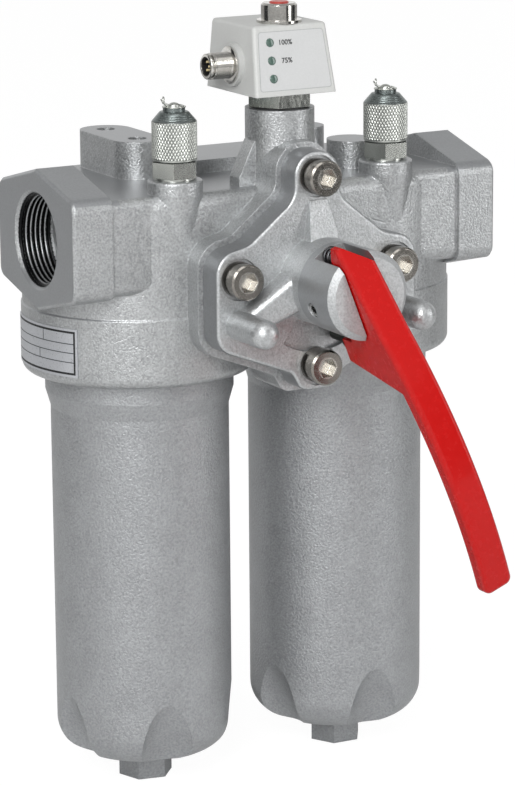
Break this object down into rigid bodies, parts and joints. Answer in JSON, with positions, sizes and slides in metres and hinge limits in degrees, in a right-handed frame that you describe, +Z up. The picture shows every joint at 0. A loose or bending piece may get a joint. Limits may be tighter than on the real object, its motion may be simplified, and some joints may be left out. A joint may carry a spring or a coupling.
{
  "type": "changeover hydraulic filter",
  "caption": "Cast aluminium hydraulic changeover filter with screwed bowls, a red changeover lever, capped test points and a clogging indicator on top.",
  "frame": {"origin": "centre of the left port's mouth, on the port's machined face", "axes": "+X along the port axis towards the other port, +Y to the back, away from the lever, +Z up, away from the bowls"},
  "size_m": [0.2142, 0.202, 0.362],
  "materials": {
    "cast_aluminium": "rough cast, painted silver",
    "bowl_aluminium": "rough cast",
    "machined_aluminium": "turned",
    "screw_steel": "dark nickel",
    "pin_steel": "ground",
    "spring_steel": "drawn wire",
    "bolt_steel": "blackened",
    "red_paint": "gloss red coating",
    "rubber": "nitrile rubber",
    "adapter_steel": "zinc plated",
    "sealing_ring": "zinc plated sealing ring",
    "zinc_cap": "knurled, zinc plated",
    "ring_wire": "bright wire",
    "housing_plastic": "light grey moulding",
    "light_lens": "grey green lens",
    "nickel_brass": "nickel plated",
    "insulator": "black insulating insert with contact pins",
    "red_plastic": "red insert",
    "nameplate_foil": "brushed foil",
    "filter_medium": "pleated glass fibre fleece",
    "element_metal": "tinned sheet"
  },
  "bodies": {
    "filter": {"filter_head": "cast_aluminium", "valve_cover": "cast_aluminium", "filter_bowl_left": "bowl_aluminium", "filter_bowl_right": "bowl_aluminium", "cover_screws": "screw_steel", "cover_seal": "rubber", "indicator_adapter": "adapter_steel", "indicator_seal": "sealing_ring", "indicator_housing": "housing_plastic", "indicator_lights": "light_lens", "indicator_plug": "nickel_brass", "indicator_top_cap": "nickel_brass", "indicator_plug_pins": "insulator", "nameplate": "nameplate_foil", "bowl_seal_left": "rubber", "element_seal_left": "rubber", "element_medium_left": "filter_medium", "element_core_left": "element_metal", "element_cap_top_left": "element_metal", "element_cap_low_left": "element_metal", "test_point_body_left": "adapter_steel", "test_point_seal_left": "sealing_ring", "test_point_cap_left": "zinc_cap", "cap_ring_left": "ring_wire", "bowl_seal_right": "rubber", "element_seal_right": "rubber", "element_medium_right": "filter_medium", "element_core_right": "element_metal", "element_cap_top_right": "element_metal", "element_cap_low_right": "element_metal", "test_point_body_right": "adapter_steel", "test_point_seal_right": "sealing_ring", "test_point_cap_right": "zinc_cap", "cap_ring_right": "ring_wire"},
    "changeover": {"changeover_spool": "pin_steel", "lever_hub": "machined_aluminium", "lever_pin": "pin_steel", "stem_seal": "rubber", "lever_spring": "spring_steel"},
    "lever": {"changeover_lever": "red_paint", "lock_bolt": "bolt_steel"},
    "button": {"indicator_button": "red_plastic"}
  },
  "joints": [
    {"name": "changeover_turn", "type": "hinge", "parent": "filter", "child": "changeover", "pos_m": [0.1071, -0.0906, -0.0175], "axis": [0, 1, 0], "range_deg": [0, 43]},
    {"name": "lever_unlock", "type": "hinge", "parent": "changeover", "child": "lever", "pos_m": [0.1071, -0.0906, -0.0175], "axis": [-0.9304, 0, -0.3665], "range_deg": [0, 5], "stiffness_Nm_per_rad": 1.5, "springref_deg": -11.46, "deforming": ["lever_spring"]},
    {"name": "indicator_reset", "type": "slide", "parent": "filter", "child": "button", "axis": [0, 0, 1], "range_m": [0, 0.003]}
  ]
}
